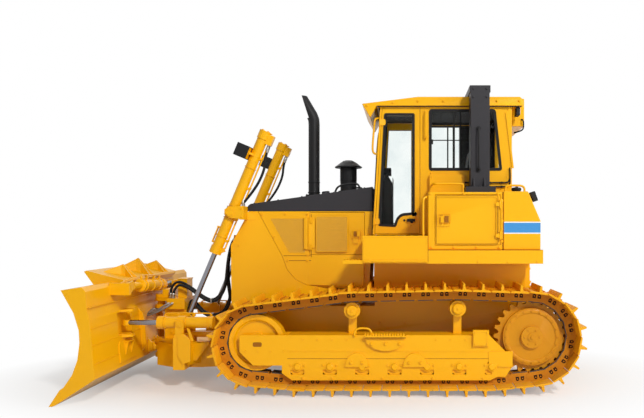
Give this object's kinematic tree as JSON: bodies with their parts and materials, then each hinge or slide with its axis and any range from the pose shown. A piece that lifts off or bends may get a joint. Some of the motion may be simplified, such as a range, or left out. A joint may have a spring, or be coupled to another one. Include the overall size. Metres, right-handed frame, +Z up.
{
  "type": "crawler bulldozer with a power-angle, power-tilt blade",
  "caption": "Crawler bulldozer with an angling and tilting front blade on an inside C-frame, an enclosed cab under a rollover arch, and wide tracks.",
  "frame": {"origin": "on the ground at the middle of the length and width", "axes": "+X forward, +Y to the machine's left, +Z up"},
  "size_m": [5.5797, 3.3, 3.47],
  "materials": {
    "body_paint": "gloss",
    "charcoal_paint": "satin",
    "black_steel": "matte",
    "cylinder_rod": "polished",
    "glass": "clear",
    "seat_cover": "matte",
    "hose_rubber": "matte",
    "hose_braid": "satin",
    "track_steel": "satin"
  },
  "bodies": {
    "chassis": {"main_frame": "body_paint", "engine": "body_paint", "radiator_guard": "body_paint", "radiator_grille": "charcoal_paint", "hood_top": "charcoal_paint", "exhaust_stack": "black_steel", "air_precleaner": "black_steel", "fuel_tank": "body_paint", "cab_shell": "body_paint", "windshield": "glass", "rear_window": "glass", "cab_roof": "body_paint", "operator_seat": "seat_cover", "control_console": "charcoal_paint", "rops_frame": "charcoal_paint", "track_left": "track_steel", "idler_left": "body_paint", "sprocket_left": "body_paint", "track_frame_left": "body_paint", "side_panel_left": "body_paint", "fender_left": "body_paint", "service_box_left": "body_paint", "side_window_left": "glass", "track_right": "track_steel", "idler_right": "body_paint", "sprocket_right": "body_paint", "track_frame_right": "body_paint", "side_panel_right": "body_paint", "fender_right": "body_paint", "service_box_right": "body_paint", "side_window_right": "glass"},
    "c_frame": {"c_frame": "body_paint", "blade_hoses_upper": "hose_rubber", "blade_hoses_lower": "hose_rubber"},
    "blade_carrier": {"blade_carrier": "body_paint", "pilot_hoses": "hose_braid"},
    "blade": {"blade": "body_paint"},
    "engine_door_left": {"engine_door_left": "body_paint"},
    "service_door_left": {"service_door_left": "body_paint"},
    "cab_door_left": {"cab_door_left": "body_paint", "door_glass_left": "glass"},
    "lift_cylinder_barrel_left": {"lift_cylinder_barrel_left": "body_paint", "lift_hose_left": "hose_rubber"},
    "lift_cylinder_rod_left": {"lift_cylinder_rod_left": "cylinder_rod"},
    "angle_yoke_left": {"angle_yoke_left": "body_paint"},
    "angle_cylinder_barrel_left": {"angle_cylinder_barrel_left": "body_paint"},
    "angle_cylinder_rod_left": {"angle_cylinder_rod_left": "cylinder_rod"},
    "engine_door_right": {"engine_door_right": "body_paint"},
    "service_door_right": {"service_door_right": "body_paint"},
    "cab_door_right": {"cab_door_right": "body_paint", "door_glass_right": "glass"},
    "lift_cylinder_barrel_right": {"lift_cylinder_barrel_right": "body_paint", "lift_hose_right": "hose_rubber"},
    "lift_cylinder_rod_right": {"lift_cylinder_rod_right": "cylinder_rod"},
    "angle_yoke_right": {"angle_yoke_right": "body_paint"},
    "angle_cylinder_barrel_right": {"angle_cylinder_barrel_right": "body_paint"},
    "angle_cylinder_rod_right": {"angle_cylinder_rod_right": "cylinder_rod"},
    "tilt_cylinder_barrel": {"tilt_cylinder_barrel": "body_paint"},
    "tilt_cylinder_rod": {"tilt_cylinder_rod": "cylinder_rod"}
  },
  "joints": [
    {"name": "c_frame_lift", "type": "hinge", "parent": "chassis", "child": "c_frame", "pos_m": [-0.1245, 0, 0.43], "axis": [0, -1, 0], "range_deg": [-10.5, 21], "deforming": ["blade_hoses_upper", "blade_hoses_lower"]},
    {"name": "blade_angle", "type": "hinge", "parent": "c_frame", "child": "blade_carrier", "pos_m": [2.2155, 0, 0.345], "axis": [0, 0, 1], "range_deg": [-22, 22], "deforming": ["pilot_hoses"]},
    {"name": "blade_tilt", "type": "hinge", "parent": "blade_carrier", "child": "blade", "pos_m": [2.2155, 0, 0.345], "axis": [1, 0, 0], "range_deg": [-6, 6]},
    {"name": "lift_cylinder_swing_left", "type": "hinge", "parent": "chassis", "child": "lift_cylinder_barrel_left", "pos_m": [1.1895, 0.6, 2.006], "axis": [0, -1, 0], "range_deg": [-3, 5], "deforming": ["lift_hose_left"]},
    {"name": "lift_cylinder_stroke_left", "type": "slide", "parent": "lift_cylinder_barrel_left", "child": "lift_cylinder_rod_left", "axis": [0.3861, 0, -0.9225], "range_m": [-0.69, 0.345]},
    {"name": "angle_yoke_turn_left", "type": "hinge", "parent": "c_frame", "child": "angle_yoke_left", "pos_m": [1.7075, 0.785, 0.748], "axis": [0, 0, 1], "range_deg": [-5, 5]},
    {"name": "angle_cylinder_rock_left", "type": "hinge", "parent": "angle_yoke_left", "child": "angle_cylinder_barrel_left", "pos_m": [1.7075, 0.785, 0.748], "axis": [0, -1, 0], "range_deg": [-8, 8]},
    {"name": "angle_cylinder_stroke_left", "type": "slide", "parent": "angle_cylinder_barrel_left", "child": "angle_cylinder_rod_left", "axis": [1, -0.0078, 0], "range_m": [-0.3, 0.3]},
    {"name": "lift_cylinder_swing_right", "type": "hinge", "parent": "chassis", "child": "lift_cylinder_barrel_right", "pos_m": [1.1895, -0.6, 2.006], "axis": [0, -1, 0], "range_deg": [-3, 5], "deforming": ["lift_hose_right"]},
    {"name": "lift_cylinder_stroke_right", "type": "slide", "parent": "lift_cylinder_barrel_right", "child": "lift_cylinder_rod_right", "axis": [0.3861, 0, -0.9225], "range_m": [-0.69, 0.345]},
    {"name": "angle_yoke_turn_right", "type": "hinge", "parent": "c_frame", "child": "angle_yoke_right", "pos_m": [1.7075, -0.785, 0.748], "axis": [0, 0, 1], "range_deg": [-5, 5]},
    {"name": "angle_cylinder_rock_right", "type": "hinge", "parent": "angle_yoke_right", "child": "angle_cylinder_barrel_right", "pos_m": [1.7075, -0.785, 0.748], "axis": [0, -1, 0], "range_deg": [-8, 8]},
    {"name": "angle_cylinder_stroke_right", "type": "slide", "parent": "angle_cylinder_barrel_right", "child": "angle_cylinder_rod_right", "axis": [1, 0.0078, 0], "range_m": [-0.3, 0.3]},
    {"name": "tilt_cylinder_swing", "type": "hinge", "parent": "blade", "child": "tilt_cylinder_barrel", "pos_m": [2.2555, 0.935, 1.175], "axis": [1, 0, 0], "range_deg": [-2, 2]},
    {"name": "tilt_cylinder_stroke", "type": "slide", "parent": "tilt_cylinder_barrel", "child": "tilt_cylinder_rod", "axis": [0, -0.9983, -0.0583], "range_m": [-0.09, 0.09]},
    {"name": "cab_door_hinge_left", "type": "hinge", "parent": "chassis", "child": "cab_door_left", "pos_m": [-0.4998, 0.632, 2.5], "axis": [0.0599, 0, -0.9982], "range_deg": [0, 100]},
    {"name": "engine_door_hinge_left", "type": "hinge", "parent": "chassis", "child": "engine_door_left", "pos_m": [0.3065, 0.512, 1.758], "axis": [0, 0, -1], "range_deg": [0, 100]},
    {"name": "service_door_hinge_left", "type": "hinge", "parent": "chassis", "child": "service_door_left", "pos_m": [-1.8745, 1.132, 1.91], "axis": [0, 0, 1], "range_deg": [0, 100]},
    {"name": "cab_door_hinge_right", "type": "hinge", "parent": "chassis", "child": "cab_door_right", "pos_m": [-0.4998, -0.632, 2.5], "axis": [-0.0599, 0, 0.9982], "range_deg": [0, 100]},
    {"name": "engine_door_hinge_right", "type": "hinge", "parent": "chassis", "child": "engine_door_right", "pos_m": [0.3065, -0.512, 1.758], "axis": [0, 0, 1], "range_deg": [0, 100]},
    {"name": "service_door_hinge_right", "type": "hinge", "parent": "chassis", "child": "service_door_right", "pos_m": [-1.8745, -1.132, 1.91], "axis": [0, 0, -1], "range_deg": [0, 100]}
  ],
  "couplings": [
    {"joint": "lift_cylinder_swing_left", "follows": "c_frame_lift", "ratio": 0.2},
    {"joint": "lift_cylinder_stroke_left", "follows": "c_frame_lift", "m_per_rad": -1.83},
    {"joint": "angle_yoke_turn_left", "follows": "blade_angle", "ratio": 0.2},
    {"joint": "angle_cylinder_rock_left", "follows": "blade_tilt", "ratio": 1.146},
    {"joint": "angle_cylinder_stroke_left", "follows": "blade_angle", "m_per_rad": -0.77},
    {"joint": "lift_cylinder_swing_right", "follows": "c_frame_lift", "ratio": 0.2},
    {"joint": "lift_cylinder_stroke_right", "follows": "c_frame_lift", "m_per_rad": -1.83},
    {"joint": "angle_yoke_turn_right", "follows": "blade_angle", "ratio": 0.2},
    {"joint": "angle_cylinder_rock_right", "follows": "blade_tilt", "ratio": -1.146},
    {"joint": "angle_cylinder_stroke_right", "follows": "blade_angle", "m_per_rad": 0.77},
    {"joint": "tilt_cylinder_swing", "follows": "blade_tilt", "ratio": -0.285},
    {"joint": "tilt_cylinder_stroke", "follows": "blade_tilt", "m_per_rad": -0.78}
  ]
}
